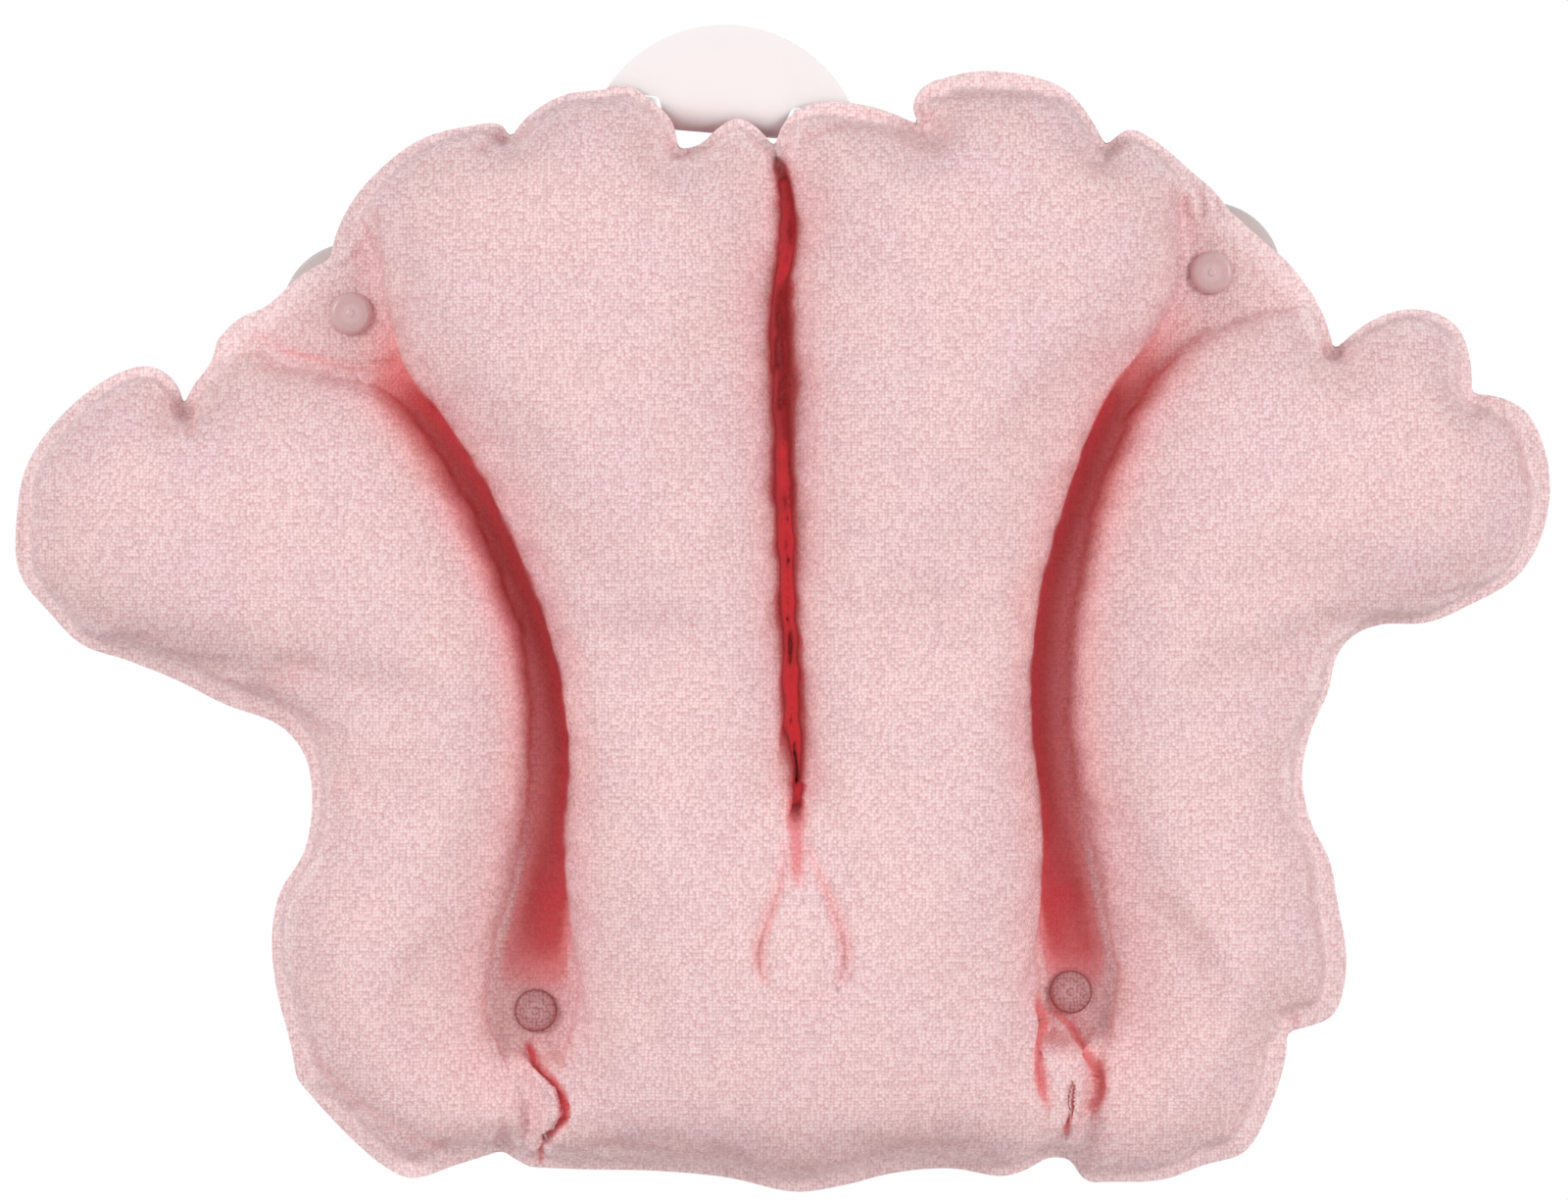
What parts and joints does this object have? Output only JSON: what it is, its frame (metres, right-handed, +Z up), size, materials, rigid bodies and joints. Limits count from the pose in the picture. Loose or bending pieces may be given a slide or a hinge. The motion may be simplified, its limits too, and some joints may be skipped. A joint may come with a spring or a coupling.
{
  "type": "bath pillow",
  "caption": "Shell-shaped inflatable bath pillow in pink terry, with folding side wings, clear suction cups, an air valve and a white tab.",
  "frame": {"origin": "in the plane of the suction cups' rims, level with the middle of the cups and halfway across the pillow", "axes": "+Z up, +X to the right seen from the front, +Y into the tub wall; the front of the pillow faces -Y"},
  "size_m": [0.5478, 0.075, 0.4165],
  "materials": {
    "terry": "matt looped terry knit",
    "back_film": "satin vinyl film",
    "clear_vinyl": "gloss, translucent",
    "valve_vinyl": "semi-gloss, milky",
    "white_vinyl": "satin"
  },
  "bodies": {
    "pillow_centre": {"front_centre_panel": "terry", "back_centre_panel": "back_film", "eyelet_ring_upper_left": "back_film", "eyelet_ring_upper_right": "back_film", "eyelet_ring_lower_left": "back_film", "eyelet_ring_lower_right": "back_film", "valve_body": "valve_vinyl", "hanging_tab_ear_left": "white_vinyl", "hanging_tab_ear_right": "white_vinyl"},
    "left_wing": {"front_left_wing_panel": "terry", "back_left_wing_panel": "back_film"},
    "right_wing": {"front_right_wing_panel": "terry", "back_right_wing_panel": "back_film"},
    "cup_upper_left": {"suction_cup_upper_left": "clear_vinyl"},
    "cup_upper_right": {"suction_cup_upper_right": "clear_vinyl"},
    "cup_lower_left": {"suction_cup_lower_left": "clear_vinyl"},
    "cup_lower_right": {"suction_cup_lower_right": "clear_vinyl"},
    "stopper": {"valve_stopper": "valve_vinyl"},
    "check_flap": {"valve_flap": "clear_vinyl"},
    "tab": {"hanging_tab": "white_vinyl"}
  },
  "joints": [
    {"name": "left_wing_fold", "type": "hinge", "parent": "pillow_centre", "child": "left_wing", "pos_m": [-0.1215, -0.022, -0.0053], "axis": [-0.2563, 0, 0.9666], "range_deg": [0, 20], "stiffness_Nm_per_rad": 0.6},
    {"name": "right_wing_fold", "type": "hinge", "parent": "pillow_centre", "child": "right_wing", "pos_m": [0.1275, -0.022, 0.0053], "axis": [-0.1923, 0, -0.9813], "range_deg": [0, 20], "stiffness_Nm_per_rad": 0.6},
    {"name": "cup_upper_left_turn", "type": "hinge", "parent": "pillow_centre", "child": "cup_upper_left", "pos_m": [-0.1545, -0.022, 0.119], "axis": [0, 1, 0], "continuous": true},
    {"name": "cup_upper_right_turn", "type": "hinge", "parent": "pillow_centre", "child": "cup_upper_right", "pos_m": [0.1526, -0.022, 0.1336], "axis": [0, 1, 0], "continuous": true},
    {"name": "cup_lower_left_turn", "type": "hinge", "parent": "pillow_centre", "child": "cup_lower_left", "pos_m": [-0.0886, -0.022, -0.1296], "axis": [0, 1, 0], "continuous": true},
    {"name": "cup_lower_right_turn", "type": "hinge", "parent": "pillow_centre", "child": "cup_lower_right", "pos_m": [0.1023, -0.022, -0.123], "axis": [0, 1, 0], "continuous": true},
    {"name": "valve_stopper_swing", "type": "hinge", "parent": "pillow_centre", "child": "stopper", "pos_m": [0.0531, -0.00985, -0.062], "axis": [0, 0, -1], "range_deg": [0, 140]},
    {"name": "valve_flap_swing", "type": "hinge", "parent": "pillow_centre", "child": "check_flap", "pos_m": [0.05, -0.0276, -0.062], "axis": [0, 0, 1], "range_deg": [0, 45], "stiffness_Nm_per_rad": 0.0004},
    {"name": "hanging_tab_flex", "type": "hinge", "parent": "pillow_centre", "child": "tab", "pos_m": [-0.0195, -0.0202, 0.1905], "axis": [-0.9965, 0, 0.0837], "range_deg": [0, 20], "stiffness_Nm_per_rad": 0.05}
  ]
}
